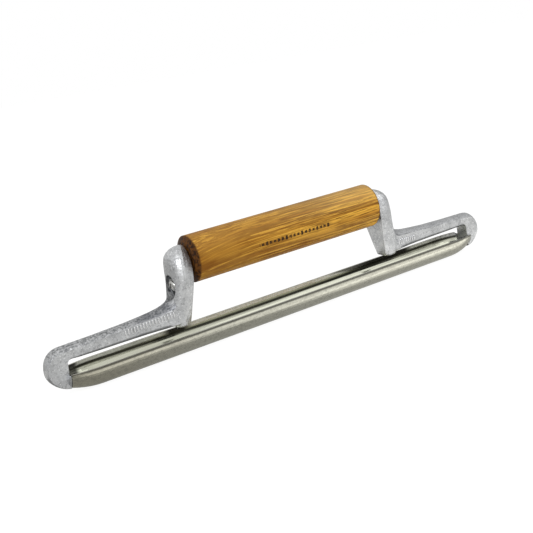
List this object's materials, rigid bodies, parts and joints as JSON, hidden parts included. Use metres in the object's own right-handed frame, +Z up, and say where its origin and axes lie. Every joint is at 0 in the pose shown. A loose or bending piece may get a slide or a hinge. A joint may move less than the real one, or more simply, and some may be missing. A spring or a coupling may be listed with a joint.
{
  "type": "sled runner jointer",
  "caption": "Masonry finishing tool: half-round steel runner with upswept ends, cast end brackets and a round wooden grip above it.",
  "frame": {"origin": "centre of the bounding box at the runner's lowest line", "axes": "+X along the runner and the grip, +Y across the tool, +Z up from the runner to the grip"},
  "size_m": [0.3666, 0.0318, 0.076],
  "materials": {
    "runner_steel": "polished inside, satin outside",
    "cast_aluminium": "rough cast, lightly tumbled",
    "grip_wood": "varnished",
    "screw_steel": "bright zinc",
    "rivet_aluminium": "plain"
  },
  "bodies": {
    "root": {"runner": "runner_steel", "right_bracket": "cast_aluminium", "left_bracket": "cast_aluminium", "handle": "grip_wood", "right_screw": "screw_steel", "left_screw": "screw_steel", "right_washer": "screw_steel", "left_washer": "screw_steel", "right_rivet": "rivet_aluminium", "left_rivet": "rivet_aluminium"}
  },
  "joints": []
}
